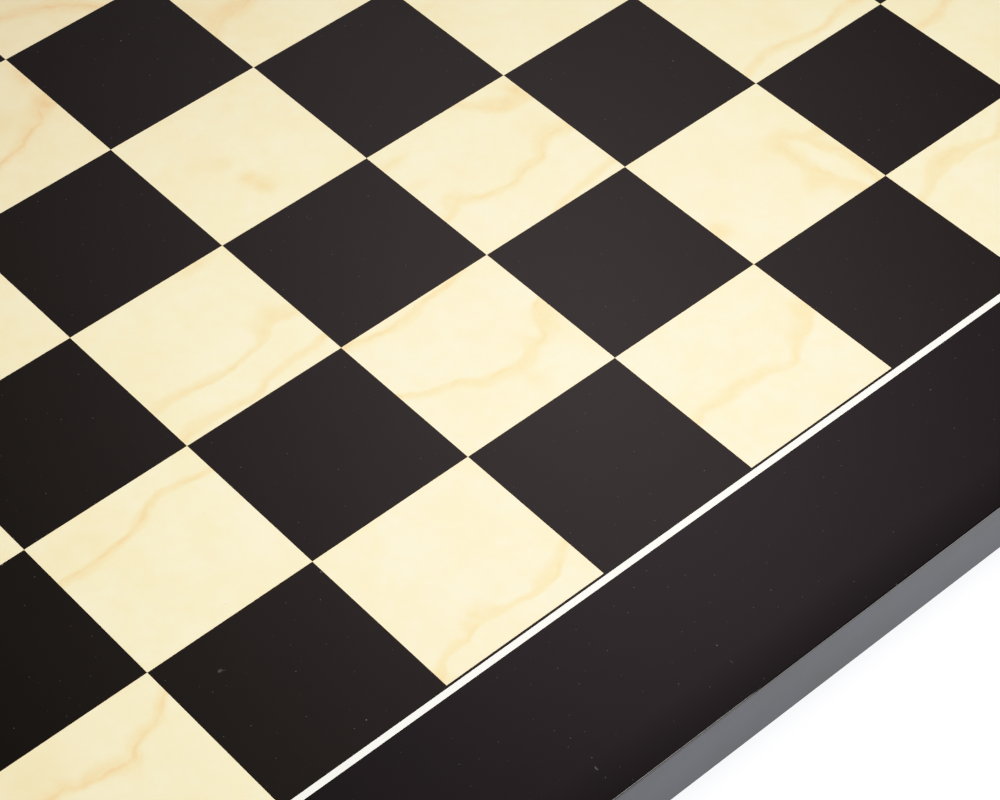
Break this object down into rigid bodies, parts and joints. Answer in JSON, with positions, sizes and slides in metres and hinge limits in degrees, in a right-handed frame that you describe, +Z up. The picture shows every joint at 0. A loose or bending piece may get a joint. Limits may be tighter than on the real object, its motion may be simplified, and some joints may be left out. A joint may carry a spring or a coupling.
{
  "type": "chess board",
  "caption": "Flat square chess board of inlaid black and figured cream veneer squares, with a white line and a wide black border, high-gloss all over, on round felt pads.",
  "frame": {"origin": "under the middle of the board, on the plane that the felt pads stand on", "axes": "+Z up, out of the playing surface; +Y from rank 1 towards rank 8; +X from file a towards file h"},
  "size_m": [0.5, 0.5, 0.0195],
  "materials": {
    "core_fibreboard": "raw medium-density fibreboard, hidden",
    "backing_veneer": "dyed black veneer under a satin black lacquer",
    "lipping_wood": "solid wood stained black under a high-gloss lacquer",
    "border_veneer": "dyed black veneer under a high-gloss lacquer",
    "white_inlay": "bleached white veneer strip under a high-gloss lacquer",
    "black_inlay": "dyed black veneer strip under a high-gloss lacquer",
    "dark_veneer": "dyed black veneer under a high-gloss lacquer",
    "light_veneer": "figured cream maple veneer with peach veins, under a high-gloss lacquer",
    "felt": "dense dark green wool felt"
  },
  "bodies": {
    "root": {"back_black_line": "black_inlay", "back_border_veneer": "border_veneer", "back_left_felt_pad": "felt", "back_lipping": "lipping_wood", "back_right_felt_pad": "felt", "back_white_line": "white_inlay", "backing_veneer": "backing_veneer", "core_panel": "core_fibreboard", "front_black_line": "black_inlay", "front_border_veneer": "border_veneer", "front_left_felt_pad": "felt", "front_lipping": "lipping_wood", "front_right_felt_pad": "felt", "front_white_line": "white_inlay", "left_black_line": "black_inlay", "left_border_veneer": "border_veneer", "left_lipping": "lipping_wood", "left_white_line": "white_inlay", "rank_1_dark_squares": "dark_veneer", "rank_1_light_squares": "light_veneer", "rank_2_dark_squares": "dark_veneer", "rank_2_light_squares": "light_veneer", "rank_3_dark_squares": "dark_veneer", "rank_3_light_squares": "light_veneer", "rank_4_dark_squares": "dark_veneer", "rank_4_light_squares": "light_veneer", "rank_5_dark_squares": "dark_veneer", "rank_5_light_squares": "light_veneer", "rank_6_dark_squares": "dark_veneer", "rank_6_light_squares": "light_veneer", "rank_7_dark_squares": "dark_veneer", "rank_7_light_squares": "light_veneer", "rank_8_dark_squares": "dark_veneer", "rank_8_light_squares": "light_veneer", "right_black_line": "black_inlay", "right_border_veneer": "border_veneer", "right_lipping": "lipping_wood", "right_white_line": "white_inlay"}
  },
  "joints": []
}
